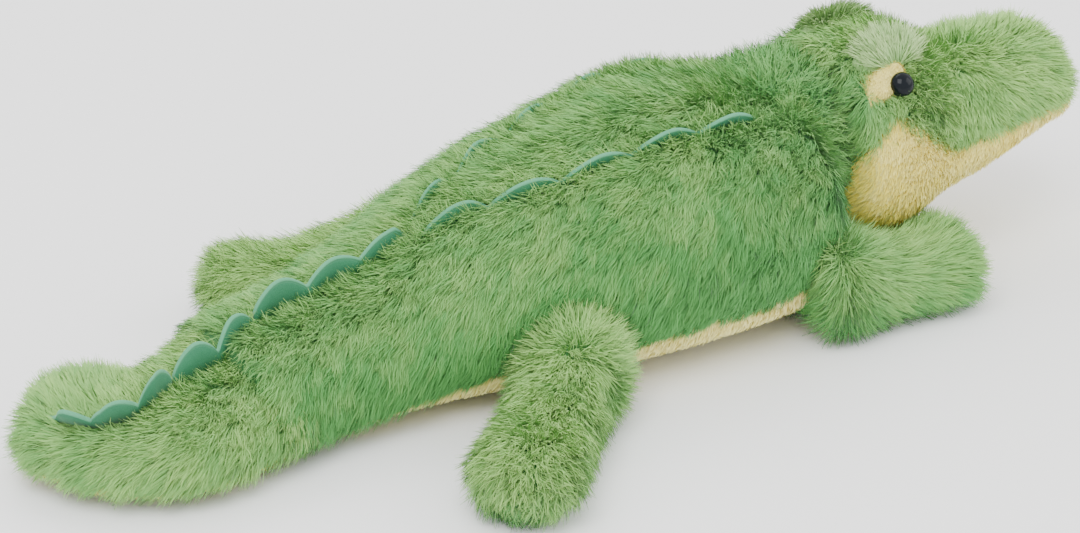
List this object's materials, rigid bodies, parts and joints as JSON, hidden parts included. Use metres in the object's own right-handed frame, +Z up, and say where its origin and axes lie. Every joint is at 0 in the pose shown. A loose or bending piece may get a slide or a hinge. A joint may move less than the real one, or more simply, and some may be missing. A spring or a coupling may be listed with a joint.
{
  "type": "plush crocodile",
  "caption": "Stuffed plush crocodile lying on its belly, long green pile, yellow belly and chin, scalloped crests, and a head, tail and legs that turn on the body and spring back.",
  "frame": {"origin": "on the ground under the middle of the belly, at the point where the belly rests", "axes": "+X along the back towards the snout, +Y to the crocodile's left, +Z up"},
  "size_m": [0.5701, 0.269, 0.1286],
  "materials": {
    "long_pile_green": "matte",
    "short_pile_yellow": "matte",
    "crest_velour_teal": "matte",
    "brow_pile_pale": "matte",
    "eye_black": "gloss",
    "washer_plastic": "satin"
  },
  "bodies": {
    "trunk": {"trunk": "long_pile_green", "belly_panel": "short_pile_yellow", "rump_crest": "crest_velour_teal", "left_back_crest": "crest_velour_teal", "right_back_crest": "crest_velour_teal"},
    "tail_base": {"tail_base": "long_pile_green", "tail_base_underside": "short_pile_yellow", "tail_base_crest": "crest_velour_teal"},
    "tail_tip": {"tail_tip": "long_pile_green", "tail_tip_underside": "short_pile_yellow", "tail_tip_crest": "crest_velour_teal"},
    "neck": {"neck": "long_pile_green", "throat_panel": "short_pile_yellow"},
    "head": {"head": "long_pile_green", "chin_panel": "short_pile_yellow", "left_brow": "brow_pile_pale", "right_brow": "brow_pile_pale", "left_eye_patch": "short_pile_yellow", "right_eye_patch": "short_pile_yellow", "left_eye": "eye_black", "right_eye": "eye_black", "left_eye_washer": "washer_plastic", "right_eye_washer": "washer_plastic"},
    "rear_right_leg": {"rear_right_leg": "long_pile_green", "rear_right_leg_sole": "short_pile_yellow"},
    "rear_left_leg": {"rear_left_leg": "long_pile_green", "rear_left_leg_sole": "short_pile_yellow"},
    "fore_right_leg": {"fore_right_leg": "long_pile_green", "fore_right_leg_sole": "short_pile_yellow"},
    "fore_left_leg": {"fore_left_leg": "long_pile_green", "fore_left_leg_sole": "short_pile_yellow"}
  },
  "joints": [
    {"name": "tail_swing", "type": "hinge", "parent": "trunk", "child": "tail_base", "pos_m": [-0.138, -0.0065, 0], "axis": [0, 0, 1], "range_deg": [-15, 15], "stiffness_Nm_per_rad": 0.8},
    {"name": "tail_curl", "type": "hinge", "parent": "tail_base", "child": "tail_tip", "pos_m": [-0.1842, -0.02084, 0], "axis": [0, 0, 1], "range_deg": [-15, 15], "stiffness_Nm_per_rad": 0.4},
    {"name": "neck_turn", "type": "hinge", "parent": "trunk", "child": "neck", "pos_m": [0.146, 0, 0.073], "axis": [0, 0, 1], "range_deg": [-8, 8], "stiffness_Nm_per_rad": 1.5},
    {"name": "head_nod", "type": "hinge", "parent": "neck", "child": "head", "pos_m": [0.146, 0, 0.073], "axis": [0, -1, 0], "range_deg": [-2, 15], "stiffness_Nm_per_rad": 2.5},
    {"name": "rear_right_leg_swing", "type": "hinge", "parent": "trunk", "child": "rear_right_leg", "pos_m": [-0.021, -0.084, 0], "axis": [0, 0, 1], "range_deg": [-5, 20], "stiffness_Nm_per_rad": 0.4},
    {"name": "rear_left_leg_swing", "type": "hinge", "parent": "trunk", "child": "rear_left_leg", "pos_m": [-0.036, 0.074, 0], "axis": [0, 0, -1], "range_deg": [0, 25], "stiffness_Nm_per_rad": 0.4},
    {"name": "fore_right_leg_swing", "type": "hinge", "parent": "trunk", "child": "fore_right_leg", "pos_m": [0.16, -0.062, 0], "axis": [0, 0, -1], "range_deg": [0, 25], "stiffness_Nm_per_rad": 0.4},
    {"name": "fore_left_leg_swing", "type": "hinge", "parent": "trunk", "child": "fore_left_leg", "pos_m": [0.16, 0.062, 0], "axis": [0, 0, 1], "range_deg": [0, 25], "stiffness_Nm_per_rad": 0.4}
  ]
}
